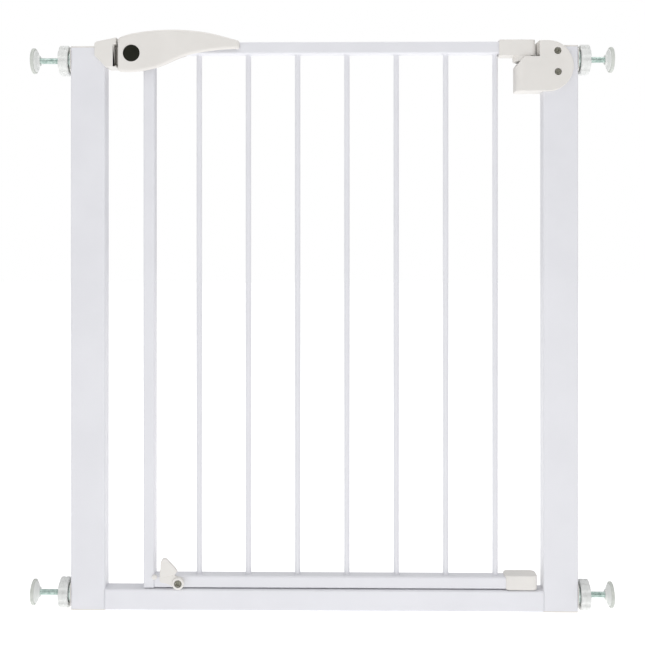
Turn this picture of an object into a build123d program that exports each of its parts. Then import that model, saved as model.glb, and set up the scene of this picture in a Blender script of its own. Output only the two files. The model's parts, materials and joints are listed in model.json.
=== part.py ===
"""Pressure-fit safety gate: a U-shaped steel frame with a swinging barred leaf.

Millimetres. X runs from the latch side to the hinge side, Y goes from the front to the back, Z is up.
The origin is on the underside of the base rail, at the middle of the frame.
"""
from build123d import *
import os

# Frame
FRAME_WIDTH = 673.0
POST_WIDTH = 46.0
POST_HEIGHT = 750.0
TUBE_DEPTH = 25.0
TUBE_WALL = 1.5
TUBE_CORNER = 2.5
BASE_RAIL_HEIGHT = 28.5
PLUG_THICK = 2.0
PLUG_SKIRT = 3.0
PLUG_FIT = 0.2                      # how much smaller the plug's skirt is than the tube's bore
POST_OUTER = FRAME_WIDTH / 2
POST_INNER = POST_OUTER - POST_WIDTH
POST_MIDDLE = POST_OUTER - POST_WIDTH / 2
HALF_TUBE = TUBE_DEPTH / 2
SEAT_GAP = 0.1                      # between a moulding and the tube it sits on
RUNNING = 0.05                      # radial clearance of a turning shaft

# Leaf
LEAF_TUBE = 16.0
STILE_WIDTH = 15.0
LEAF_DEPTH = 20.0
LEAF_LEFT = -240.0
LEAF_RIGHT = 258.0
LEAF_BOTTOM = 29.7
LEAF_TOP = 755.5
BAR_RADIUS = 3.6
BAR_COUNT = 7
FIRST_BAR = -166.6
BAR_PITCH = 65.85

# Hinge side
HINGE_X = 266.0
PIN_RADIUS = 5.0
PIN_CHAMFER = 0.8
SLEEVE_LEFT = 232.2
SLEEVE_BOTTOM = 736.3
SLEEVE_TOP = 757.6
SLEEVE_HALF = 12.5
SLEEVE_CORNER = 5.5
SLEEVE_EDGE = 1.2
SHOULDER_RADIUS = 14.2
SHOULDER_BOTTOM = 729.0
BOX_HALF = 17.5
BOX_LEFT = 254.0
BOX_STEP_X = 284.8
BOX_STEP_Z = 735.0
BOX_BOTTOM = 688.5
BOX_DISC_X = 295.9
BOX_DISC_RADIUS = 33.75
BOX_WALL = 2.5
BOX_SCREWS = [(308.5, 742.0), (309.0, 714.3)]
BOX_SCREW_HOLE = 2.2
BOX_SCREW_RECESS = 4.7
SOCKET_BOTTOM = BOX_BOTTOM + BOX_WALL + SEAT_GAP
SOCKET_TOP = 705.5
SEAL_LEFT = 283.2
FOOT_BLOCK = (240.0, 283.0, LEAF_BOTTOM, 48.5)
FOOT_BLOCK_HALF = 13.0
PIVOT_BUSH_RADIUS = 8.0

# Latch side
KEEP_LEFT = -304.0
KEEP_FACE = -278.0
KEEP_LIP = -275.2
KEEP_BOTTOM = 721.5
KEEP_HALF = 17.0
POCKET_BOTTOM = 723.7
POCKET_TOP = 751.4
POCKET_HALF = 9.5
POCKET_DEPTH = 7.0
KEEP_SCREWS = (731.0, 742.0)
KEEP_SCREW_HOLE = 1.7
HANDLE_HALF = 19.0
HANDLE_INNER = 15.0
HANDLE_LEFT = -273.0
HANDLE_RIGHT = -111.5
HANDLE_EDGE = 4.0
HANDLE_WALL = 3.2
HANDLE_SLOT = 10.8                  # half the width of the slot that clears the leaf's tubes
HANDLE_SCREWS = (-212.0, -168.0)
HANDLE_SCREW_Z = 761.4
BACK = [(-268.8, 761.6), (-248, 767.2), (-220, 770.4), (-190, 770.8), (-150, 766.2), (-114.5, 757.0)]
FRONT_BELLY = [(-115.5, 745.0), (-150, 742.6), (-188, 734.2), (-223, 719.8), (-250, 715.0), (-267, 714.9)]
REAR_BELLY = [(-115.5, 745.0), (-150, 743.6), (-188, 739.8), (-223, 725.8), (-250, 720.8), (-267, 720.7)]
PIVOT = (-264.5, 753.5)
PIVOT_RADIUS = 1.6
BUTTON = (-254.4, 739.6)
BUTTON_RADIUS = 10.8
BUTTON_FACE = -19.7
BUTTON_FLANGE = 12.0
FLANGE_BACK = -13.9
CARRIER_FLOOR = -11.0
CARRIER_BACK = -10.2
BOLT_NOSE = (-277.5, -268.5)
BOLT_TRAVEL = 4.5
PEG_DROP = 9.0
PEG_RADIUS = 1.8
LATCH_HALF = 8.5
SHANK_HALF = 4.0
CHANNEL_HALF = 4.3

# Swing stop on the leaf's foot rail
STOP_X = -192.7
STOP_Z = 37.6
STOP_RADIUS = 8.0

# Wall spindles: the pads are wound out by different amounts on the two sides
SPINDLE_HEIGHTS = {"bottom": 20.0, "top": 732.0}
SPINDLE_RADIUS = 4.0
SPINDLE_LENGTH = 68.5
SPINDLE_SEAT = 3.5                  # from the pad's face to the rod's end
WALL_X = {"left": 390.0, "right": 384.0}
BUSH_RADIUS = 10.0
BUSH_INNER = 322.0
FLANGE_RADIUS = 17.5
FLANGE_END = 337.7
WASHER_RADIUS = 12.5
WASHER_END = 339.7
NUT_START = 340.0
NUT_END = 352.5
NUT_RADIUS = 20.2
NUT_LOBES = 8
NUT_TURN = {"bottom": 0.0, "top": 22.5}
SCALLOP_RADIUS = 4.4
PAD_RADIUS = 17.0
PAD_RUBBER = 4.2                    # thickness of the rubber disc
PAD_HUB = 10.0                      # from the wall to the hub's inner end


# ---------------------------------------------------------------- helpers
def block(x0, x1, y0, y1, z0, z1):
    """A box between two corners."""
    return Pos((x0 + x1) / 2, (y0 + y1) / 2, (z0 + z1) / 2) * Box(x1 - x0, y1 - y0, z1 - z0)


def rod_x(x0, x1, y, z, radius):
    """A cylinder along X."""
    return extrude(Plane.YZ.offset(x0) * Pos(y, z) * Circle(radius), x1 - x0)


def rod_y(x, y0, y1, z, radius):
    """A cylinder along Y."""
    return extrude(Plane.XZ.offset(-y1) * Pos(x, z) * Circle(radius), y1 - y0)


def rod_z(x, y, z0, z1, radius):
    """A cylinder along Z."""
    return Pos(x, y, z0) * extrude(Circle(radius), z1 - z0)


def prism_y(face, y0, y1):
    """A front-view outline, drawn as (x, z), made solid between two depths."""
    return extrude(Plane.XZ.offset(-y1) * face, y1 - y0)


def ring_section(width, depth, corner):
    """The section of a rectangular tube."""
    inside = RectangleRounded(width - 2 * TUBE_WALL, depth - 2 * TUBE_WALL, corner - TUBE_WALL / 2)
    return RectangleRounded(width, depth, corner) - inside


def upright_tube(x, width, depth, z0, z1):
    return Pos(x, 0, z0) * extrude(ring_section(width, depth, TUBE_CORNER), z1 - z0)


def level_tube(x0, x1, depth, z0, z1):
    section = Pos(0, (z0 + z1) / 2) * ring_section(depth, z1 - z0, TUBE_CORNER)
    return extrude(Plane.YZ.offset(x0) * section, x1 - x0)


def coil(radius, wire, length, turns):
    """A coil spring standing on the XY plane."""
    pitch = (length - wire) / turns
    path = Pos(0, 0, wire / 2) * Helix(pitch=pitch, height=length - wire, radius=radius)
    section = Plane(origin=path @ 0, z_dir=path % 0) * Circle(wire / 2)
    return sweep(section, path=path, is_frenet=True)


def mirrored(shape):
    """The same piece on the gate's other side."""
    return mirror(shape, about=Plane.YZ)


def one(shape):
    """A lone solid out of a boolean's result."""
    return shape.solids()[0]


def socket_screw(head_radius, head_length, shank_radius, shank_length, key):
    """A socket-head screw with its head at the origin, its shank going down."""
    head = extrude(Circle(head_radius), head_length)
    head = chamfer(head.edges().sort_by(Axis.Z)[-1], head_radius * 0.12)
    shank = Pos(0, 0, -shank_length) * extrude(Circle(shank_radius), shank_length)
    recess = Pos(0, 0, head_length * 0.35) * extrude(RegularPolygon(key, 6), head_length)
    return one(head + shank - recess)


# ---------------------------------------------------------------- frame
def latch_post():
    """The latch-side post, with the holes for its two spindle bushes and the keep's screws."""
    post = upright_tube(-POST_MIDDLE, POST_WIDTH, TUBE_DEPTH, PLUG_THICK, POST_HEIGHT - PLUG_THICK)
    for z in SPINDLE_HEIGHTS.values():
        post -= rod_x(-POST_OUTER - 1, -POST_OUTER + 3, 0, z, BUSH_RADIUS)
    for z in KEEP_SCREWS:
        post -= rod_x(-POST_INNER - 3, -POST_INNER + 1, 0, z, KEEP_SCREW_HOLE)
    return one(post)


def hinge_post():
    """The hinge-side post, with the holes for its bushes and the hinge box's screws."""
    post = upright_tube(POST_MIDDLE, POST_WIDTH, TUBE_DEPTH, PLUG_THICK, POST_HEIGHT - PLUG_THICK)
    for z in SPINDLE_HEIGHTS.values():
        post -= rod_x(POST_OUTER - 3, POST_OUTER + 1, 0, z, BUSH_RADIUS)
    for x, z in BOX_SCREWS:
        post -= rod_y(x, -HALF_TUBE - 1, HALF_TUBE + 1, z, BOX_SCREW_HOLE)
    return one(post)


def base_rail():
    """The threshold rail, with a hole for the lower pivot's bush."""
    rail = level_tube(-POST_INNER, POST_INNER, TUBE_DEPTH, 0, BASE_RAIL_HEIGHT)
    return one(rail - rod_z(HINGE_X, 0, BASE_RAIL_HEIGHT - 4, BASE_RAIL_HEIGHT + 1, PIVOT_BUSH_RADIUS))


def post_plug(x, outer_z, inward):
    """A tube-end plug: a flush plate with a short skirt inside the tube."""
    plate = extrude(RectangleRounded(POST_WIDTH, TUBE_DEPTH, TUBE_CORNER), PLUG_THICK)
    inner_w = POST_WIDTH - 2 * TUBE_WALL - PLUG_FIT
    inner_d = TUBE_DEPTH - 2 * TUBE_WALL - PLUG_FIT
    skirt = RectangleRounded(inner_w, inner_d, TUBE_CORNER - 0.5)
    skirt -= RectangleRounded(inner_w - 4, inner_d - 4, 1)
    plug = plate + Pos(0, 0, PLUG_THICK) * extrude(skirt, PLUG_SKIRT)
    if inward < 0:
        plug = Rot(180, 0, 0) * plug
    return one(Pos(x, 0, outer_z) * plug)


def post_plugs(outer_z, inward):
    return Compound(children=[post_plug(x, outer_z, inward) for x in (-POST_MIDDLE, POST_MIDDLE)])


def spindle_bush(z):
    """A guide pressed into the hinge-side post, its flange trimmed to the tube's depth."""
    flange = rod_x(POST_OUTER, FLANGE_END, 0, z, FLANGE_RADIUS)
    trim = HALF_TUBE - 0.3
    flange &= block(POST_OUTER, FLANGE_END, -trim, trim, z - FLANGE_RADIUS, z + FLANGE_RADIUS)
    body = rod_x(BUSH_INNER, POST_OUTER, 0, z, BUSH_RADIUS)
    bore = rod_x(BUSH_INNER - 1, FLANGE_END + 1, 0, z, SPINDLE_RADIUS + RUNNING)
    return one(flange + body - bore)


def lock_washer(z):
    ring = rod_x(FLANGE_END, WASHER_END, 0, z, WASHER_RADIUS)
    return one(ring - rod_x(FLANGE_END - 1, NUT_START, 0, z, SPINDLE_RADIUS + 0.4))


def four_corners(make):
    """One node of four alike pieces, at both heights on both posts."""
    right = [make(z) for z in SPINDLE_HEIGHTS.values()]
    return Compound(children=right + [one(mirrored(piece)) for piece in right])


def latch_keep():
    """The striker that straddles the latch post's top inner corner and takes the bolt."""
    outline = Polyline(
        (KEEP_LEFT, 736.7), (KEEP_LEFT, 752.5), (-301.5, 755.5), (KEEP_LIP, 761.0), (KEEP_LIP, POCKET_TOP),
        (KEEP_FACE, POCKET_TOP), (KEEP_FACE, POCKET_BOTTOM), (KEEP_LIP, POCKET_BOTTOM),
        (KEEP_LIP, KEEP_BOTTOM), (-288.8, KEEP_BOTTOM), close=True,
    )
    keep = prism_y(make_face(outline), -KEEP_HALF, KEEP_HALF)
    rim = keep.faces().filter_by(Axis.Y).edges()
    keep = chamfer(rim, 1.0)
    seat = HALF_TUBE + SEAT_GAP
    keep -= block(-POST_OUTER, SEAT_GAP - POST_INNER, -seat, seat, 700, POST_HEIGHT + SEAT_GAP)
    pocket_floor = KEEP_FACE - POCKET_DEPTH
    keep -= block(pocket_floor, KEEP_FACE + 0.01, -POCKET_HALF, POCKET_HALF, POCKET_BOTTOM, POCKET_TOP)
    for z in KEEP_SCREWS:
        keep -= rod_x(-POST_INNER - 1, KEEP_FACE, 0, z, KEEP_SCREW_HOLE)
    return one(keep)


def keep_screws():
    screw = socket_screw(3.2, 2.2, 1.6, 12, 1.3)
    screws = [Pos(KEEP_FACE - POCKET_DEPTH, 0, z) * Rot(0, 90, 0) * screw for z in KEEP_SCREWS]
    return Compound(children=[one(s) for s in screws])


def box_outline():
    """The hinge box from the front: a round plate on the post and a barrel that reaches to the pin."""
    top = BOX_BOTTOM + 2 * BOX_DISC_RADIUS
    middle = BOX_BOTTOM + BOX_DISC_RADIUS
    edges = Polyline(
        (BOX_DISC_X, top), (BOX_STEP_X, top), (BOX_STEP_X, BOX_STEP_Z), (HINGE_X - 1, BOX_STEP_Z),
        (BOX_LEFT, 722.0), (BOX_LEFT, BOX_BOTTOM), (BOX_DISC_X, BOX_BOTTOM),
    )
    edges += ThreePointArc(
        (BOX_DISC_X, BOX_BOTTOM), (BOX_DISC_X + BOX_DISC_RADIUS, middle), (BOX_DISC_X, top)
    )
    return make_face(edges)


def hinge_cover_front():
    """The front half of the hinge box, hollow round the pin and cut back over the post."""
    cover = prism_y(box_outline(), -BOX_HALF, 0)
    corner = cover.edges().filter_by(Axis.Z).sort_by(Axis.X)[:2].sort_by(Axis.Y)[0]
    cover = fillet(corner, 9.0)
    front = cover.faces().sort_by(Axis.Y)[0]
    cover = fillet(front.edges(), 1.6)
    seat = HALF_TUBE + SEAT_GAP
    cover -= block(POST_INNER - SEAT_GAP, POST_OUTER, -seat, 1, 600, POST_HEIGHT + SEAT_GAP)
    inside_half = BOX_HALF - BOX_WALL
    barrel_left = BOX_LEFT + BOX_WALL
    hollow = RectangleRounded(2 * (POST_INNER - barrel_left), 2 * inside_half, 6.5)
    hollow = Pos(POST_INNER, 0, BOX_BOTTOM + BOX_WALL) * extrude(hollow, BOX_STEP_Z - BOX_BOTTOM)
    hollow &= block(barrel_left, POST_INNER - 4.5, -inside_half, 1, BOX_BOTTOM, BOX_STEP_Z + 5)
    cover -= hollow
    cover -= rod_z(HINGE_X, 0, SHOULDER_BOTTOM - 0.5, BOX_STEP_Z + 1, SHOULDER_RADIUS + 0.6)
    for x, z in BOX_SCREWS:
        cover -= rod_y(x, -BOX_HALF - 1, -BOX_HALF + 3, z, BOX_SCREW_RECESS)
        cover -= rod_y(x, -BOX_HALF - 1, 1, z, BOX_SCREW_HOLE)
    return one(cover)


def hinge_cover_back():
    """The back half of the hinge box: the same shell without the screw recesses."""
    cover = mirror(hinge_cover_front(), about=Plane.XZ)
    for x, z in BOX_SCREWS:
        cover += rod_y(x, BOX_HALF - 4.8, BOX_HALF - 0.4, z, 5.2)
        cover -= rod_y(x, 0, BOX_HALF - 1.5, z, BOX_SCREW_HOLE)
    return one(cover)


def box_screws():
    screw = socket_screw(4.0, 2.2, 2.0, 30, 2.1)
    return Compound(children=[
        one(Pos(x, -BOX_HALF + 3, z) * Rot(90, 0, 0) * screw) for x, z in BOX_SCREWS
    ])


def hinge_socket():
    """The nylon bearing in the hinge box: a round body with a web back to the post."""
    body = rod_z(HINGE_X, 0, SOCKET_BOTTOM, SOCKET_TOP, 9.2)
    body += block(HINGE_X, POST_INNER - 4.6, -7, 7, SOCKET_BOTTOM, SOCKET_TOP)
    return one(body - rod_z(HINGE_X, 0, SOCKET_BOTTOM + 1.4, SOCKET_TOP + 1, PIN_RADIUS + RUNNING))


def closer_spring():
    """The torsion spring that swings the leaf shut, coiled round the pin."""
    return Pos(HINGE_X, 0, SOCKET_TOP + 1) * coil(7.6, 1.6, 22, 7)


def gap_seal():
    """A strip that fills the finger gap beside the hinge sleeve."""
    strip = block(SEAL_LEFT, BOX_STEP_X, -9, 9, BOX_STEP_Z + 2, 754.5)
    return one(fillet(strip.edges().filter_by(Axis.Z).sort_by(Axis.X)[:2], 1.2))


def lower_pivot_bush():
    bush = rod_z(HINGE_X, 0, 10, BASE_RAIL_HEIGHT, PIVOT_BUSH_RADIUS)
    return one(bush - rod_z(HINGE_X, 0, 12, BASE_RAIL_HEIGHT + 1, PIN_RADIUS + RUNNING))


# ---------------------------------------------------------------- leaf
def leaf_top_rail():
    return one(level_tube(LEAF_LEFT, LEAF_RIGHT, LEAF_DEPTH, LEAF_TOP - LEAF_TUBE, LEAF_TOP))


def leaf_foot_rail():
    rail = level_tube(LEAF_LEFT + STILE_WIDTH, LEAF_RIGHT, LEAF_DEPTH, LEAF_BOTTOM, LEAF_BOTTOM + LEAF_TUBE)
    return one(rail - rod_y(STOP_X, -LEAF_DEPTH / 2 - 1, 0, STOP_Z, 2.6))


def latch_stile():
    middle = LEAF_LEFT + STILE_WIDTH / 2
    return one(upright_tube(middle, STILE_WIDTH, LEAF_DEPTH, LEAF_BOTTOM, LEAF_TOP - LEAF_TUBE))


def leaf_bar(number):
    x = FIRST_BAR + number * BAR_PITCH
    return one(rod_z(x, 0, LEAF_BOTTOM + LEAF_TUBE, LEAF_TOP - LEAF_TUBE, BAR_RADIUS))


def rail_space(x0, z0):
    """The end of a leaf rail, taken out of the moulding over it."""
    return block(x0, LEAF_RIGHT, -LEAF_DEPTH / 2, LEAF_DEPTH / 2, z0, z0 + LEAF_TUBE)


def hinge_sleeve():
    """The moulding on the top rail's end, with the pin's shoulder beneath it."""
    sleeve_right = HINGE_X + SHOULDER_RADIUS
    sleeve = block(SLEEVE_LEFT, sleeve_right, -SLEEVE_HALF, SLEEVE_HALF, SLEEVE_BOTTOM, SLEEVE_TOP)
    sleeve = fillet(sleeve.edges().filter_by(Axis.Z).sort_by(Axis.X)[2:], SLEEVE_CORNER)
    sleeve = fillet(sleeve.faces().sort_by(Axis.Z)[-1].edges(), SLEEVE_EDGE)
    sleeve += rod_z(HINGE_X, 0, SHOULDER_BOTTOM, SLEEVE_BOTTOM, SHOULDER_RADIUS)
    sleeve -= rail_space(SLEEVE_LEFT - 1, LEAF_TOP - LEAF_TUBE)
    return one(sleeve - rod_z(HINGE_X, 0, SHOULDER_BOTTOM - 1, SLEEVE_TOP - 2, PIN_RADIUS))


def hinge_pin():
    pin = rod_z(HINGE_X, 0, SOCKET_BOTTOM + 1.9, SLEEVE_TOP - 2, PIN_RADIUS)
    return one(chamfer(pin.edges().sort_by(Axis.Z)[0], PIN_CHAMFER))


def foot_block():
    """The moulding on the foot rail's end, over the lower pivot."""
    x0, x1, z0, z1 = FOOT_BLOCK
    body = block(x0, x1, -FOOT_BLOCK_HALF, FOOT_BLOCK_HALF, z0, z1)
    body = fillet(body.edges().filter_by(Axis.Z), 7.0)
    body = fillet(body.faces().sort_by(Axis.Z)[-1].edges(), 1.5)
    body -= rail_space(x0 - 1, LEAF_BOTTOM)
    return one(body - rod_z(HINGE_X, 0, z0 - 1, z1 - 2, PIN_RADIUS))


def lower_pivot_pin():
    pin = rod_z(HINGE_X, 0, 12.5, FOOT_BLOCK[3] - 2, PIN_RADIUS)
    return one(chamfer(pin.edges().sort_by(Axis.Z)[0], PIN_CHAMFER))


def latch_body():
    """The fixed core of the latch, on the stile's top, with the bolt's pocket and channel."""
    body = block(-272.5, LEAF_LEFT, -LATCH_HALF, LATCH_HALF, 719.5, 749.0)
    body += block(-263.0, -257.0, -LATCH_HALF, -4.6, 745, 753.5)
    body += block(-263.0, -257.0, -LATCH_HALF, LATCH_HALF, 749.2, 753.5)
    body += rod_y(PIVOT[0], -14.7, 14.7, PIVOT[1], 3.4)
    body += block(-263.0, PIVOT[0] + 3.4, -LATCH_HALF, LATCH_HALF, 750.4, PIVOT[1])
    nose_end = BOLT_NOSE[1] + BOLT_TRAVEL + 0.4
    body -= block(-273, nose_end, -6.5, 6.5, 724.2, 750.0)
    body -= block(nose_end - 1, LEAF_LEFT - 1, -CHANNEL_HALF, CHANNEL_HALF, 730.7, 741.3)
    body -= block(nose_end - 1, -254.2, -CHANNEL_HALF, CHANNEL_HALF, 741, 748.0)
    body -= block(-267.4, -257.2, 0, LATCH_HALF + 0.5, 742, 749.3)
    return one(body - rod_y(PIVOT[0], -16, 16, PIVOT[1], PIVOT_RADIUS))


def bolt_spring():
    return Pos(-252.0, 0, 736) * Rot(0, 90, 0) * coil(2.9, 0.7, 10.9, 6)


def pivot_pin():
    return one(rod_y(PIVOT[0], -17, 17, PIVOT[1], PIVOT_RADIUS))


def handle_spring():
    """The torsion spring that lays the handle down, coiled round its pin."""
    return Pos(PIVOT[0], 14.2, PIVOT[1]) * Rot(90, 0, 0) * coil(4.2, 0.9, 5.0, 4)


def rest_peg():
    """The small peg that the swing stop leans towards when it is up."""
    peg = rod_y(LEAF_LEFT + STILE_WIDTH, -LEAF_DEPTH / 2 - 2.4, -LEAF_DEPTH / 2, 44.0, 3.5)
    return one(fillet(peg.edges().sort_by(Axis.Y)[0], 1.6))


def stop_spacer():
    """The washer that keeps the swing stop clear of the base rail."""
    ring = rod_y(STOP_X, -12.9, -LEAF_DEPTH / 2, STOP_Z, 7.0)
    return one(ring - rod_y(STOP_X, -14, -9, STOP_Z, 2.5))


def stop_bolt():
    bolt = socket_screw(4.6, 3.0, 2.5, 12.5, 2.6)
    return one(Pos(STOP_X, -14.9, STOP_Z) * Rot(90, 0, 0) * bolt)


# ---------------------------------------------------------------- handle, button, bolt
def handle_top(lower=0.0):
    """The handle's back, from the nose to the tail, as a curve lowered by some distance."""
    return Spline([(x, z - lower) for x, z in BACK], tangents=[(1, 0.42), (1, -0.26)])


def handle_outline(belly):
    """The handle from the front: a deep rounded nose that tapers to a slim tail."""
    nose, tail_top, tail_foot, heel_end = BACK[0], BACK[-1], belly[0], belly[-1]
    return make_face([
        handle_top(),
        Spline([tail_top, (HANDLE_RIGHT, 752.5)], tangents=[(1, -0.26), (0, -1)]),
        Line((HANDLE_RIGHT, 752.5), (HANDLE_RIGHT, 749.0)),
        Spline([(HANDLE_RIGHT, 749.0), tail_foot], tangents=[(0, -1), (-1, 0)]),
        Spline(belly, tangents=[(-1, 0), (-1, 0.05)]),
        Spline([heel_end, (HANDLE_LEFT, heel_end[1] + 6)], tangents=[(-1, 0.05), (0, 1)]),
        Line((HANDLE_LEFT, heel_end[1] + 6), (HANDLE_LEFT, 755.5)),
        Spline([(HANDLE_LEFT, 755.5), nose], tangents=[(0, 1), (1, 0.42)]),
    ])


def handle_hollow():
    """The space inside the handle, open below and at the nose."""
    roof = handle_top(lower=HANDLE_WALL)
    start, end = roof @ 0, roof @ 1
    sides = Polyline((end.X, end.Y), (end.X - 3, 700), (-285, 700), (-285, 757.2), (start.X, start.Y))
    return prism_y(make_face([roof, sides]), -HANDLE_INNER, HANDLE_INNER)


def handle_shell(belly):
    """The handle's shell for one belly curve, before it is split at the middle."""
    shell = prism_y(handle_outline(belly), -HANDLE_HALF, HANDLE_HALF)
    shell = fillet(shell.faces().filter_by(Axis.Y).edges(), HANDLE_EDGE)
    shell -= handle_hollow()
    shell -= block(LEAF_LEFT - 8, HANDLE_RIGHT + 2, -HANDLE_SLOT, HANDLE_SLOT, 700, LEAF_TOP + 0.8)
    for x in HANDLE_SCREWS:
        shell += rod_y(x, -HANDLE_INNER, HANDLE_INNER, HANDLE_SCREW_Z, 4.4)
    return shell - rod_y(PIVOT[0], -17.2, 17.2, PIVOT[1], PIVOT_RADIUS + RUNNING)


def handle_front():
    """The front half, with the button's hole."""
    half = handle_shell(FRONT_BELLY) & block(-300, -90, -30, 0, 700, 800)
    half -= rod_y(BUTTON[0], -HANDLE_HALF - 1, -HANDLE_INNER + 1, BUTTON[1], BUTTON_RADIUS + 0.35)
    for x in HANDLE_SCREWS:
        half -= rod_y(x, -11, 1, HANDLE_SCREW_Z, 1.5)
    return one(half)


def handle_back():
    """The back half, a little shallower, with the screw recesses and the peg that draws the bolt."""
    half = handle_shell(REAR_BELLY) & block(-300, -90, 0, 30, 700, 800)
    half += rod_y(PIVOT[0], 1.0, HANDLE_INNER, PIVOT[1] - PEG_DROP, PEG_RADIUS)
    for x in HANDLE_SCREWS:
        half -= rod_y(x, -1, 20, HANDLE_SCREW_Z, 1.7)
        half -= rod_y(x, 14.5, 20, HANDLE_SCREW_Z, 3.4)
    return one(half)


def handle_screws():
    screw = socket_screw(3.0, 2.0, 1.45, 24, 1.3)
    return Compound(children=[
        one(Pos(x, 14.5, HANDLE_SCREW_Z) * Rot(-90, 0, 0) * screw) for x in HANDLE_SCREWS
    ])


def button_carrier():
    """The cup behind the button that holds its spring, notched round the handle's pin."""
    cup = rod_y(BUTTON[0], -HANDLE_INNER, CARRIER_BACK, BUTTON[1], 14.2)
    cup -= rod_y(BUTTON[0], -HANDLE_INNER - 1, CARRIER_FLOOR, BUTTON[1], 13.0)
    cup -= rod_y(PIVOT[0], -16, -8, PIVOT[1], 4.4)
    return one(cup)


def release_button():
    """The round button, slightly crowned, with a flange that keeps it in."""
    flange_front = FLANGE_BACK - 0.8
    cap = rod_y(BUTTON[0], BUTTON_FACE, flange_front, BUTTON[1], BUTTON_RADIUS)
    cap = fillet(cap.edges().sort_by(Axis.Y)[0], 1.2)
    cap += rod_y(BUTTON[0], flange_front, FLANGE_BACK, BUTTON[1], BUTTON_FLANGE)
    return one(cap)


def button_spring():
    gap = CARRIER_FLOOR - FLANGE_BACK
    return Pos(BUTTON[0], CARRIER_FLOOR, BUTTON[1]) * Rot(90, 0, 0) * coil(6.0, 0.6, gap, 2)


def latch_bolt():
    """The spring bolt: a tall nose, a square shank and the lug that the handle's peg pulls."""
    nose = block(BOLT_NOSE[0], BOLT_NOSE[1], -6.2, 6.2, 724.5, 749.5)
    nose = fillet(nose.edges().filter_by(Axis.Z).sort_by(Axis.X)[:2], 2.0)
    shank = block(BOLT_NOSE[1] - 1, -252.0, -SHANK_HALF, SHANK_HALF, 731.0, 741.0)
    lug_left = PIVOT[0] + PEG_RADIUS + 0.4
    lug = block(lug_left, lug_left + 3.4, -SHANK_HALF, SHANK_HALF, 740.0, 747.4)
    return one(nose + shank + lug)


def swing_stop():
    """The flip-down stop: a hub, a foot and a thumb tab that leans out of the leaf."""
    hub = rod_y(STOP_X, -19.0, -13.1, STOP_Z, STOP_RADIUS)
    hub = fillet(hub.edges().sort_by(Axis.Y)[0], 1.2)
    foot = make_face(Polyline(
        (STOP_X, STOP_Z - STOP_RADIUS), (-207, 37.0), (-215.5, 38.6), (-217.2, 41.0), (-216.8, 55),
        (-207, 57.5), (-196, 47.5), (STOP_X, STOP_Z + STOP_RADIUS), close=True,
    ))
    plate = prism_y(foot, -16.6, -13.1)
    tab = make_face(Polyline(
        (-216.8, 46), (-215.8, 66.0), (-213.0, 70.3), (-208.3, 70.3), (-205.6, 67.6),
        (-195.5, 57.0), (-193.5, 53.4), (-197.5, 48.6), close=True,
    ))
    tab = prism_y(tab, -17.4, -13.1)
    tab = fillet(tab.faces().sort_by(Axis.Y)[0].edges(), 0.9)
    lever = hub + plate + tab
    lever -= rod_y(STOP_X, -20, -14.9, STOP_Z, 5.0)
    return one(lever - rod_y(STOP_X, -20, -12, STOP_Z, 2.5 + RUNNING))


# ---------------------------------------------------------------- wall spindles
def spindle_rod(z, wall):
    rod_end = wall - SPINDLE_SEAT
    rod = rod_x(rod_end - SPINDLE_LENGTH, rod_end, 0, z, SPINDLE_RADIUS)
    return one(chamfer(rod.edges().sort_by(Axis.X)[0], 0.8))


def wall_pad(z, wall):
    """A dished disc: a hub on the rod's end, a flared back and a flat rubber face."""
    rubber = wall - PAD_RUBBER
    profile = make_face(Polyline(
        (wall - PAD_HUB, 0), (wall - PAD_HUB, 6.5), (wall - PAD_HUB + 2, 7.5), (rubber - 2, PAD_RADIUS - 3),
        (rubber, PAD_RADIUS - 0.7), (rubber + 0.8, PAD_RADIUS), (wall - 0.8, PAD_RADIUS),
        (wall, PAD_RADIUS - 0.8), (wall, 0), close=True,
    ))
    pad = revolve(Plane.XZ * profile, axis=Axis.X)
    return one(Pos(0, 0, z) * pad - rod_x(wall - PAD_HUB - 1, wall - SPINDLE_SEAT, 0, z, SPINDLE_RADIUS))


def adjusting_nut(z, turn):
    """The hand nut that winds the spindle out: a disc with finger scallops between its lobes."""
    outline = Circle(NUT_RADIUS)
    for place in PolarLocations(NUT_RADIUS + 2.4, NUT_LOBES, start_angle=turn + 180 / NUT_LOBES):
        outline -= place * Circle(SCALLOP_RADIUS)
    nut = extrude(Plane.YZ.offset(NUT_START) * outline, NUT_END - NUT_START)
    nut = chamfer(nut.faces().filter_by(Axis.X).edges(), 1.0)
    nut = Pos(0, 0, z) * nut
    return one(nut - rod_x(NUT_START - 1, NUT_END + 1, 0, z, SPINDLE_RADIUS + RUNNING))


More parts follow.
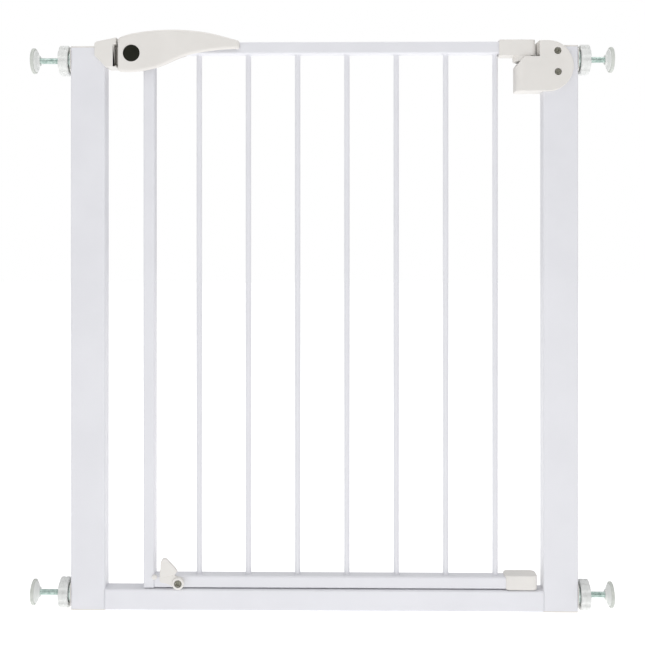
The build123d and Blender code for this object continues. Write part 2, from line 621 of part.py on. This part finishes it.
# ---------------------------------------------------------------- all nodes
def all_nodes():
    """Every piece, by the name of its node."""
    nodes = {
        "left_post": latch_post(),
        "right_post": hinge_post(),
        "base_rail": base_rail(),
        "post_caps": post_plugs(POST_HEIGHT, -1),
        "post_feet": post_plugs(0, 1),
        "spindle_bushes": four_corners(spindle_bush),
        "lock_washers": four_corners(lock_washer),
        "latch_keep": latch_keep(),
        "keep_screws": keep_screws(),
        "hinge_cover_front": hinge_cover_front(),
        "hinge_cover_back": hinge_cover_back(),
        "hinge_box_screws": box_screws(),
        "hinge_socket": hinge_socket(),
        "closer_spring": closer_spring(),
        "hinge_gap_seal": gap_seal(),
        "lower_pivot_bush": lower_pivot_bush(),
        "leaf_top_rail": leaf_top_rail(),
        "leaf_foot_rail": leaf_foot_rail(),
        "latch_stile": latch_stile(),
        "hinge_sleeve": hinge_sleeve(),
        "hinge_pin": hinge_pin(),
        "foot_block": foot_block(),
        "lower_pivot_pin": lower_pivot_pin(),
        "latch_body": latch_body(),
        "bolt_spring": bolt_spring(),
        "handle_pivot_pin": pivot_pin(),
        "handle_spring": handle_spring(),
        "stop_rest_peg": rest_peg(),
        "stop_spacer": stop_spacer(),
        "stop_bolt": stop_bolt(),
        "handle_front": handle_front(),
        "handle_back": handle_back(),
        "handle_screws": handle_screws(),
        "button_carrier": button_carrier(),
        "button_spring": button_spring(),
        "release_button": release_button(),
        "latch_bolt": latch_bolt(),
        "swing_stop": swing_stop(),
    }
    for number in range(BAR_COUNT):
        nodes[f"leaf_bar_{number + 1}"] = leaf_bar(number)
    for level, z in SPINDLE_HEIGHTS.items():
        for side, wall in WALL_X.items():
            nut = adjusting_nut(z, NUT_TURN[level])
            pieces = {"spindle": spindle_rod(z, wall), "wall_pad": wall_pad(z, wall), "adjusting_nut": nut}
            for name, piece in pieces.items():
                nodes[f"{name}_{level}_{side}"] = one(mirrored(piece)) if side == "left" else piece
    return nodes


def main():
    os.makedirs("parts", exist_ok=True)
    nodes = all_nodes()
    for name, shape in nodes.items():
        export_step(shape, f"parts/{name}.step")
    print(len(nodes), "nodes written")


if __name__ == "__main__":
    main()
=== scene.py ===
"""Looks for the pressure-fit safety gate: finer meshes, materials, studio, camera.

Metres, Z up, the front towards -Y.
"""
import json
import math

import bmesh
import bpy
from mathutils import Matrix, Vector


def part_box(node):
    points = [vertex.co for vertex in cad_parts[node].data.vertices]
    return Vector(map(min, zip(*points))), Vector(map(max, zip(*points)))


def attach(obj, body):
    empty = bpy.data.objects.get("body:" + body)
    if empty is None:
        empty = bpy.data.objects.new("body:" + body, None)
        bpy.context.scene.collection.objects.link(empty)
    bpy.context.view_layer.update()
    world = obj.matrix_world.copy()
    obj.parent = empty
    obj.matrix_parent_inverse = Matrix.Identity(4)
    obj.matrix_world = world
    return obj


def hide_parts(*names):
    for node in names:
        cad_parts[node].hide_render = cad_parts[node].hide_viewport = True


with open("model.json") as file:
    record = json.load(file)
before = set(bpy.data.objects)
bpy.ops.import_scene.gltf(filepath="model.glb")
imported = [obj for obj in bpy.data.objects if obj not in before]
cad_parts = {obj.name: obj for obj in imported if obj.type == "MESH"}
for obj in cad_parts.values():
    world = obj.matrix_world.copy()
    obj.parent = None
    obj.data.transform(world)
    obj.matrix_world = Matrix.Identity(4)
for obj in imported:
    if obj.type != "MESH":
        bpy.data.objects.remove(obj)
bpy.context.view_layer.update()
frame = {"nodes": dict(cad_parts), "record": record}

MM = 0.001
CORNERS = [(level, side) for level in ("top", "bottom") for side in ("left", "right")]

# Threads on the wall spindles (M8)
THREAD_PITCH = 1.25 * MM
THREAD_DEPTH = 0.68 * MM
THREAD_RINGS = 6                    # rings of vertices to a pitch
THREAD_STEPS = 24                   # vertices to a ring

# Hand nuts
NUT_RADIUS = 20.2 * MM
NUT_LOBES = 8
NUT_TURN = {"bottom": 0.0, "top": math.radians(22.5)}
SCALLOP_RADIUS = 4.4 * MM
SCALLOP_OUT = 2.4 * MM              # the scallops' centres, outside the nut's radius
NUT_WEB = 15.0 * MM                 # the lobes begin outside this radius
NUT_EASE = 0.7 * MM

# How finely round pieces are turned, and where shading breaks
TURN_STEPS = 96
NUT_STEPS = 192
NODE_CREASE = math.radians(38)
PIECE_CREASE = math.radians(42)

# Paint and weld details
BEAD_RADIUS = 0.9 * MM
SEAM_RADIUS = 0.45 * MM
EDGE_WIDTH = 0.35 * MM


# ---------------------------------------------------------------- camera
CAMERA_DISTANCE = 1.40              # from the posts' front
CAMERA_HEIGHT = 0.512
CAMERA_TURN = math.radians(0.8)     # the hinge side stands a little nearer
CAMERA_OFFSET = -0.0015
FRAME_SPAN = 0.8546                 # what the picture's width takes in at the posts' front
FRAME_MIDDLE = 0.383


def make_camera():
    """A level camera in front of the gate, with a little downward shift to frame it."""
    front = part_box("left_post")[0].y
    data = bpy.data.cameras.new("camera")
    data.sensor_width = 36.0
    data.lens = data.sensor_width * CAMERA_DISTANCE / FRAME_SPAN
    data.shift_y = (FRAME_MIDDLE - CAMERA_HEIGHT) / FRAME_SPAN
    camera = bpy.data.objects.new("camera", data)
    camera.location = (
        math.sin(CAMERA_TURN) * CAMERA_DISTANCE + CAMERA_OFFSET,
        front - math.cos(CAMERA_TURN) * CAMERA_DISTANCE,
        CAMERA_HEIGHT,
    )
    camera.rotation_euler = (math.radians(90), 0, CAMERA_TURN)
    bpy.context.scene.collection.objects.link(camera)
    bpy.context.scene.camera = camera


# ---------------------------------------------------------------- studio
ROOM_STRENGTH = 0.47
KEY_POWER = 2.8
LOW_FILL_POWER = 1.4
OVERHEAD_POWER = 16.0
FLOOR_GLOW = 0.66                   # a lit sweep: it throws light up under the rails
FLOOR_SIZE = 16.0


def soft_light(name, place, aim, size, energy):
    data = bpy.data.lights.new(name, "AREA")
    data.shape = "RECTANGLE"
    data.size, data.size_y = size
    data.energy = energy
    lamp = bpy.data.objects.new(name, data)
    lamp.location = place
    lamp.rotation_euler = (Vector(aim) - Vector(place)).to_track_quat("-Z", "Y").to_euler()
    bpy.context.scene.collection.objects.link(lamp)


def make_room():
    """An even room light, with plain white behind everything."""
    world = bpy.data.worlds.new("studio")
    bpy.context.scene.world = world
    world.use_nodes = True
    nodes, links = world.node_tree.nodes, world.node_tree.links
    nodes.clear()
    backdrop = nodes.new("ShaderNodeBackground")
    backdrop.inputs["Color"].default_value = (1, 1, 1, 1)
    room = nodes.new("ShaderNodeBackground")
    room.inputs["Strength"].default_value = ROOM_STRENGTH
    room.inputs["Color"].default_value = (0.985, 0.99, 1.0, 1)
    path = nodes.new("ShaderNodeLightPath")
    mix = nodes.new("ShaderNodeMixShader")
    out = nodes.new("ShaderNodeOutputWorld")
    links.new(path.outputs["Is Camera Ray"], mix.inputs["Fac"])
    links.new(room.outputs[0], mix.inputs[1])
    links.new(backdrop.outputs[0], mix.inputs[2])
    links.new(mix.outputs[0], out.inputs["Surface"])


def make_floor():
    bpy.ops.mesh.primitive_plane_add(size=FLOOR_SIZE, location=(0, 0, -0.4 * MM))
    floor = bpy.context.object
    floor.name = "floor"
    material = surface("floor", (0.80, 0.80, 0.80), (0.83, 0.83, 0.83), 2.0, (0.6, 0.75), specular=0.2)
    shader = material.node_tree.nodes["Principled BSDF"]
    shader.inputs["Emission Color"].default_value = (1, 1, 1, 1)
    shader.inputs["Emission Strength"].default_value = FLOOR_GLOW
    floor.data.materials.append(material)


def make_studio():
    bpy.context.scene.view_settings.view_transform = "Standard"
    make_room()
    make_floor()
    soft_light("key", (-0.6, -1.5, 1.7), (0, 0, 0.4), (1.4, 1.0), KEY_POWER)
    soft_light("low_fill", (0.2, -1.4, 0.25), (0, 0, 0.15), (1.6, 0.4), LOW_FILL_POWER)
    soft_light("overhead", (0, 0.1, 2.2), (0, 0.1, 0), (2.0, 2.0), OVERHEAD_POWER)


# ---------------------------------------------------------------- materials
def surface(name, dark, light, blotch, rough, metallic=0.0, bump=None, fine=None, specular=0.5,
            coat=0.0, scuffs=0.0, stretch=(1, 1, 1)):
    """A painted, moulded or metal surface: two close tones, varied gloss, relief and light scuffs.

    blotch is the tone's scale in features a metre, rough the range of roughness, bump and fine are
    (features a metre, height in metres), scuffs how strongly hair scratches mark the gloss.
    """
    material = bpy.data.materials.new(name)
    material.use_nodes = True
    nodes, links = material.node_tree.nodes, material.node_tree.links
    shader = nodes["Principled BSDF"]
    shader.inputs["Metallic"].default_value = metallic
    shader.inputs["Coat Weight"].default_value = coat
    shader.inputs["Coat Roughness"].default_value = 0.12
    shader.inputs["Specular IOR Level"].default_value = specular
    where = nodes.new("ShaderNodeTexCoord")
    scale = nodes.new("ShaderNodeMapping")
    scale.inputs["Scale"].default_value = stretch
    links.new(where.outputs["Object"], scale.inputs["Vector"])

    def noise(size, detail=3.0):
        node = nodes.new("ShaderNodeTexNoise")
        node.inputs["Scale"].default_value = size
        node.inputs["Detail"].default_value = detail
        links.new(scale.outputs["Vector"], node.inputs["Vector"])
        return node.outputs["Fac"]

    def spread(value, low, high, to_low, to_high):
        node = nodes.new("ShaderNodeMapRange")
        node.inputs["From Min"].default_value = low
        node.inputs["From Max"].default_value = high
        node.inputs["To Min"].default_value = to_low
        node.inputs["To Max"].default_value = to_high
        links.new(value, node.inputs["Value"])
        return node.outputs["Result"]

    def add(a, b):
        node = nodes.new("ShaderNodeMath")
        node.operation = "ADD"
        links.new(a, node.inputs[0])
        links.new(b, node.inputs[1])
        return node.outputs["Value"]

    tone = nodes.new("ShaderNodeValToRGB")
    tone.color_ramp.elements[0].position = 0.35
    tone.color_ramp.elements[1].position = 0.65
    tone.color_ramp.elements[0].color = (*dark, 1)
    tone.color_ramp.elements[1].color = (*light, 1)
    links.new(noise(blotch), tone.inputs["Fac"])
    links.new(tone.outputs["Color"], shader.inputs["Base Color"])

    gloss = spread(noise(blotch * 4.0), 0.3, 0.7, *rough)
    if scuffs:
        hairs = nodes.new("ShaderNodeTexVoronoi")
        hairs.feature = "DISTANCE_TO_EDGE"
        hairs.inputs["Scale"].default_value = 55
        links.new(scale.outputs["Vector"], hairs.inputs["Vector"])
        gloss = add(gloss, spread(hairs.outputs["Distance"], 0.0, 0.03, scuffs, 0.0))
    links.new(gloss, shader.inputs["Roughness"])

    normal = None
    for relief in (bump, fine):
        if relief:
            node = nodes.new("ShaderNodeBump")
            node.inputs["Strength"].default_value = 1.0
            node.inputs["Distance"].default_value = relief[1]
            links.new(noise(relief[0], 2.0), node.inputs["Height"])
            if normal:
                links.new(normal, node.inputs["Normal"])
            normal = node.outputs["Normal"]
    if normal:
        links.new(normal, shader.inputs["Normal"])
    return material


def powder_coat():
    """Baked white powder paint, a touch blue, with its faint orange peel."""
    return surface("powder_coat", (0.785, 0.785, 0.82), (0.81, 0.81, 0.845), 14, (0.30, 0.42),
                   bump=(650, 0.05 * MM), fine=(2600, 0.012 * MM), scuffs=0.10)


def white_plastic():
    """Warm white moulding with a fine spark-eroded texture."""
    return surface("white_plastic", (0.79, 0.765, 0.73), (0.815, 0.79, 0.755), 30, (0.32, 0.44),
                   bump=(1900, 0.025 * MM), fine=(5200, 0.01 * MM), scuffs=0.08)


def nut_plastic():
    return surface("nut_plastic", (0.76, 0.77, 0.755), (0.80, 0.81, 0.79), 40, (0.38, 0.5),
                   bump=(1700, 0.03 * MM), scuffs=0.1)


def nylon():
    return surface("nylon", (0.70, 0.68, 0.60), (0.76, 0.74, 0.66), 60, (0.4, 0.55),
                   bump=(1800, 0.02 * MM))


def black_plastic():
    return surface("black_plastic", (0.009, 0.010, 0.005), (0.014, 0.015, 0.008), 90, (0.42, 0.55),
                   bump=(2600, 0.03 * MM), fine=(6000, 0.01 * MM), specular=0.16)


def grey_plastic():
    return surface("grey_plastic", (0.46, 0.435, 0.40), (0.52, 0.495, 0.46), 120, (0.4, 0.55),
                   bump=(2500, 0.01 * MM))


def zinc_steel():
    """Bright zinc with a blue-green passivate that pools unevenly."""
    return surface("zinc_steel", (0.47, 0.585, 0.545), (0.72, 0.81, 0.775), 260, (0.22, 0.42),
                   metallic=1.0, bump=(3000, 0.012 * MM), scuffs=0.15)


def screw_steel():
    return surface("screw_steel", (0.19, 0.185, 0.145), (0.34, 0.33, 0.28), 420, (0.35, 0.5),
                   metallic=0.85, bump=(4000, 0.01 * MM))


def spring_steel():
    return surface("spring_steel", (0.42, 0.42, 0.43), (0.55, 0.55, 0.56), 500, (0.25, 0.4),
                   metallic=1.0, fine=(5000, 0.005 * MM))


def pad_rubber():
    """Pale grey-green rubber, matt and a little grained."""
    return surface("pad_rubber", (0.59, 0.615, 0.575), (0.68, 0.70, 0.66), 150, (0.55, 0.72),
                   bump=(2300, 0.04 * MM), specular=0.3)


def make_materials():
    makers = (powder_coat, white_plastic, nut_plastic, nylon, black_plastic, grey_plastic,
              zinc_steel, screw_steel, spring_steel, pad_rubber)
    return {make.__name__: make() for make in makers}


# ---------------------------------------------------------------- CAD nodes
TUBES = ("left_post", "right_post", "base_rail", "leaf_top_rail", "leaf_foot_rail", "latch_stile")
SPRINGS = ("closer_spring", "bolt_spring", "handle_spring", "button_spring")


def soften(node, width):
    """Smooth shading on curved faces, and a small rounding on a moulding's sharp edges."""
    for polygon in node.data.polygons:
        polygon.use_smooth = True
    weld = node.modifiers.new("weld", "WELD")
    weld.merge_threshold = 0.002 * MM
    flat = node.modifiers.new("flat", "DECIMATE")
    flat.decimate_type = "DISSOLVE"
    flat.angle_limit = math.radians(0.4)
    if width:
        bevel = node.modifiers.new("edges", "BEVEL")
        bevel.width = width
        bevel.segments = 2
        bevel.limit_method = "ANGLE"
        bevel.angle_limit = NODE_CREASE
        bevel.use_clamp_overlap = False
    split = node.modifiers.new("split", "EDGE_SPLIT")
    split.split_angle = NODE_CREASE
    normals = node.modifiers.new("normals", "WEIGHTED_NORMAL")
    normals.keep_sharp = True


def dress_nodes():
    """Give every CAD node its slot's material and finish its edges."""
    slots = {s["node"]: s["material_slot"] for s in frame["record"]["subparts"]}
    for name, node in frame["nodes"].items():
        node.data.materials.clear()
        node.data.materials.append(materials[slots[name]])
        plain = name in TUBES or name in SPRINGS or name.startswith("leaf_bar")
        soften(node, 0 if plain else EDGE_WIDTH)


# ---------------------------------------------------------------- mesh helpers
def add_piece(mesh, slot, body, *nodes):
    """Put a finished mesh in the scene, riding on a body and standing for CAD nodes."""
    for polygon in mesh.polygons:
        polygon.use_smooth = True
    mesh.set_sharp_from_angle(angle=PIECE_CREASE)
    mesh.materials.append(materials[slot])
    piece = bpy.data.objects.new(mesh.name, mesh)
    bpy.context.scene.collection.objects.link(piece)
    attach(piece, body)
    if nodes:
        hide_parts(*nodes)


def build_mesh(name, vertices, faces):
    mesh = bpy.data.meshes.new(name)
    mesh.from_pydata(vertices, [], faces)
    work = bmesh.new()
    work.from_mesh(mesh)
    bmesh.ops.recalc_face_normals(work, faces=work.faces)
    work.to_mesh(mesh)
    work.free()
    return mesh


def grid_faces(rings, steps, wrap, first=0):
    """Quads between rings of vertices; wrap joins the last ring to the first."""
    faces = []
    for ring in range(rings if wrap else rings - 1):
        here, there = first + ring * steps, first + (ring + 1) % rings * steps
        for k in range(steps):
            after = (k + 1) % steps
            faces.append((here + k, here + after, there + after, there + k))
    return faces


def turned(name, origin, axis, profile, steps, wrap=False, reshape=None):
    """A shape turned about an axis from (along, radius) points, closed by caps or, wrapped, a ring.

    The first cross direction is +Y, or +X for an axis along Y. reshape(angle, along, radius) may
    change the radius.
    """
    axis = Vector(axis)
    across = Vector((1, 0, 0)) if abs(axis.y) > 0.5 else Vector((0, 1, 0))
    up = Vector((0, 0, 1))
    vertices = []
    for along, radius in profile:
        for k in range(steps):
            angle = math.tau * k / steps
            reach = reshape(angle, along, radius) if reshape else radius
            spoke = across * math.cos(angle) + up * math.sin(angle)
            vertices.append(Vector(origin) + axis * along + spoke * reach)
    faces = grid_faces(len(profile), steps, wrap)
    if not wrap:
        faces.append(tuple(range(steps)))
        faces.append(tuple(range(len(vertices) - steps, len(vertices))))
    return build_mesh(name, vertices, faces)


def middle(node):
    low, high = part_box(node)
    return (low + high) / 2


# ---------------------------------------------------------------- wall spindles
def thread_depth(angle, along):
    """How far the thread's surface lies below its crest."""
    phase = (along / THREAD_PITCH - angle / math.tau) % 1.0
    root, flank = 0.10, 0.22
    return THREAD_DEPTH * min(1.0, max(0.0, (root + flank - abs(phase - 0.5)) / flank))


def make_threaded_rod(level, side):
    node = f"spindle_{level}_{side}"
    low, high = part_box(node)
    length, crest = high.x - low.x, (high.z - low.z) / 2
    rings = round(length / THREAD_PITCH * THREAD_RINGS)
    chamfer = 0.8 * MM

    def thread(angle, along, radius):
        to_end = min(along, length - along)
        return min(radius - thread_depth(angle, along), radius - chamfer + to_end)

    profile = [(length * k / rings, crest) for k in range(rings + 1)]
    centre = middle(node)
    origin = (low.x, centre.y, centre.z)
    mesh = turned(f"rod_{level}_{side}", origin, (1, 0, 0), profile, THREAD_STEPS, reshape=thread)
    add_piece(mesh, "zinc_steel", node, node)


def groove(radius):
    """A shallow ring cut into the pad's face."""
    depth, slope, width = 0.45 * MM, 0.4 * MM, 1.2 * MM
    return [(0, radius), (depth, radius + slope), (depth, radius + width - slope), (0, radius + width)]


def make_wall_pad(level, side):
    """A grooved rubber disc, and the pale cup that carries it on the rod's end."""
    node = f"wall_pad_{level}_{side}"
    low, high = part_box(node)
    centre = middle(node)
    radius = (high.z - low.z) / 2
    wall = high.x if side == "right" else low.x
    origin = (wall, centre.y, centre.z)
    inward = (-1 if side == "right" else 1, 0, 0)
    face = [(0, 2 * MM)] + groove(4 * MM) + groove(8 * MM) + groove(12 * MM)
    edge = [(0, 15.6), (0.25, 16.4), (0.8, 17.0), (1.7, 17.0), (2.0, 16.65), (2.3, 17.0), (3.1, 17.0)]
    back = [(3.7, 16.6), (4.1, 15.8), (4.2, 14.8), (4.2, 12.5)]
    rim = [(along * MM, radius + (reach - 17.0) * MM) for along, reach in edge + back]
    disc = turned(f"pad_disc_{level}_{side}", origin, inward, face + rim, TURN_STEPS)
    add_piece(disc, "pad_rubber", f"spindle_{level}_{side}", node)
    shape = [(3.8, 14.2), (4.5, 14.4), (5.1, 14.2), (5.7, 13.4), (6.4, 11.4), (7.0, 9.4), (7.6, 8.1),
             (8.2, 7.4), (9.3, 7.1), (9.9, 6.7), (10.0, 6.1), (10.0, 4.3)]
    cup = turned(f"pad_cup_{level}_{side}", origin, inward, [(a * MM, r * MM) for a, r in shape], TURN_STEPS)
    add_piece(cup, "nut_plastic", f"spindle_{level}_{side}", node)


def lobed_radius(angle, turn, radius):
    """The hand nut's outline: a circle cut by finger scallops, with eased corners."""
    apart = math.tau / NUT_LOBES
    off = (angle - turn) % apart - apart / 2
    centre = radius + SCALLOP_OUT
    reach = SCALLOP_RADIUS ** 2 - (centre * math.sin(off)) ** 2
    if reach <= 0:
        return radius
    cut = centre * math.cos(off) - math.sqrt(reach)
    ease = max(0.0, NUT_EASE - abs(radius - cut)) / NUT_EASE
    return min(radius, cut) - ease * ease * NUT_EASE / 4


def make_nut(level, side):
    """A moulded hand nut: rounded lobes, and a recessed web round its boss on both faces."""
    node = f"adjusting_nut_{level}_{side}"
    low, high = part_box(node)
    centre = middle(node)
    thick = high.x - low.x
    turn = NUT_TURN[level]

    def lobes(angle, along, radius):
        if radius <= NUT_WEB:
            return radius
        share = (radius - NUT_WEB) / (NUT_RADIUS - NUT_WEB)
        return NUT_WEB + share * (lobed_radius(angle, turn, NUT_RADIUS) - NUT_WEB)

    half = [(0, 4.05), (0, 8.0), (0.3, 8.5), (1.5, 8.9), (1.5, 13.6), (0.3, 14.2), (0, 14.9), (0, 18.2),
            (0.25, 19.2), (0.8, 19.9), (1.5, 20.2)]
    front = [(along * MM, reach * MM) for along, reach in half]
    back = [(thick - along, reach) for along, reach in reversed(front)]
    ridge = [(thick / 2 - 1.2 * MM, NUT_RADIUS), (thick / 2 - 0.8 * MM, 19.7 * MM),
             (thick / 2 + 0.8 * MM, 19.7 * MM), (thick / 2 + 1.2 * MM, NUT_RADIUS)]
    origin = (low.x, centre.y, centre.z)
    profile = front + ridge + back
    name = f"nut_{level}_{side}_lobed"
    mesh = turned(name, origin, (1, 0, 0), profile, NUT_STEPS, wrap=True, reshape=lobes)
    add_piece(mesh, "nut_plastic", f"nut_{level}_{side}", node)


# ---------------------------------------------------------------- button
def make_button():
    """A dished cap with a soft rim, and the pale bezel round its hole."""
    low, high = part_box("release_button")
    centre = middle("release_button")
    origin = (centre.x, low.y, centre.z)
    cap = [(0.75, 1.5), (0.70, 3.4), (0.55, 5.5), (0.25, 7.4), (0.05, 8.5), (0.0, 9.1), (0.12, 9.8),
           (0.5, 10.35), (1.1, 10.7), (1.7, 10.8), (5.0, 10.8), (5.0, 12.0), (5.8, 12.0)]
    mesh = turned("button_cap", origin, (0, 1, 0), [(a * MM, r * MM) for a, r in cap], TURN_STEPS)
    add_piece(mesh, "black_plastic", "button", "release_button")
    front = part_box("handle_front")[0].y
    ring = [(0.5, 11.15), (-0.1, 11.2), (-0.3, 11.45), (-0.3, 11.8), (-0.15, 12.2), (0.5, 12.5)]
    section = [(along * MM, reach * MM) for along, reach in ring]
    bezel = turned("button_bezel", (centre.x, front, centre.z), (0, 1, 0), section, TURN_STEPS, wrap=True)
    add_piece(bezel, "white_plastic", "handle")


# ---------------------------------------------------------------- welds
def bead(path, radius, closed, phase):
    """A rippled weld bead along a path: vertices and faces, to be joined with others."""
    steps = 8
    vertices = []
    count = len(path)
    for k, point in enumerate(path):
        before = path[k - 1] if closed or k else point
        after = path[(k + 1) % count] if closed or k < count - 1 else point
        along = (after - before).normalized()
        side = along.cross(Vector((0.31, 0.17, 0.94))).normalized()
        other = along.cross(side)
        swell = radius * (1 + 0.14 * math.sin(2.3 * k + phase))
        for j in range(steps):
            angle = math.tau * j / steps
            vertices.append(point + (side * math.cos(angle) + other * math.sin(angle)) * swell)
    faces = grid_faces(count, steps, closed)
    if not closed:
        faces += [tuple(range(steps)), tuple(range(len(vertices) - steps, len(vertices)))]
    return vertices, faces


def join_beads(beads):
    vertices, faces = [], []
    for some, corners in beads:
        faces += [tuple(i + len(vertices) for i in face) for face in corners]
        vertices += some
    return vertices, faces


def ring_path(x, z, radius, steps=40):
    return [Vector((x + radius * math.cos(math.tau * k / steps), radius * math.sin(math.tau * k / steps), z))
            for k in range(steps)]


def box_path(node, x, corner=2.5 * MM, pace=1.5 * MM):
    """The outline of a level rail's end at x, up the front, over the top and down the back."""
    low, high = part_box(node)
    turns = [(low.y, low.z + corner), (low.y, high.z), (high.y, high.z), (high.y, low.z + corner)]
    path = []
    for (y0, z0), (y1, z1) in zip(turns, turns[1:]):
        steps = max(2, round(math.hypot(y1 - y0, z1 - z0) / pace))
        path += [Vector((x, y0 + (y1 - y0) * k / steps, z0 + (z1 - z0) * k / steps)) for k in range(steps)]
    y_in, z_in = (high.y - corner), (high.z - corner)
    for point in path:
        dy, dz = abs(point.y) - y_in, point.z - z_in
        if dy > 0 and dz > 0:
            pull = corner / math.hypot(dy, dz)
            point.y = math.copysign(y_in + dy * pull, point.y)
            point.z = z_in + dz * pull
    return path


def make_welds():
    """Beads round the bars' ends, and fine seams where the square tubes meet."""
    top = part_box("leaf_top_rail")[0].z
    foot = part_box("leaf_foot_rail")[1].z
    bars = []
    for number in range(1, 8):
        low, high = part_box(f"leaf_bar_{number}")
        x, radius = (low.x + high.x) / 2, (high.x - low.x) / 2
        for level, z in enumerate((foot, top)):
            bars.append(bead(ring_path(x, z, radius + 0.2 * MM), BEAD_RADIUS, True, number + 3 * level))
    bars.append(bead(box_path("leaf_foot_rail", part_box("latch_stile")[1].x), SEAM_RADIUS, False, 0.5))
    mesh = build_mesh("leaf_welds", *join_beads(bars))
    add_piece(mesh, "powder_coat", "leaf")
    low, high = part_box("base_rail")
    seams = [bead(box_path("base_rail", x), SEAM_RADIUS, False, phase)
             for phase, x in enumerate((low.x, high.x))]
    mesh = build_mesh("frame_welds", *join_beads(seams))
    add_piece(mesh, "powder_coat", "frame")


# ---------------------------------------------------------------- build
make_camera()
materials = make_materials()
make_studio()
dress_nodes()
for level, side in CORNERS:
    make_threaded_rod(level, side)
    make_wall_pad(level, side)
    make_nut(level, side)
make_button()
make_welds()
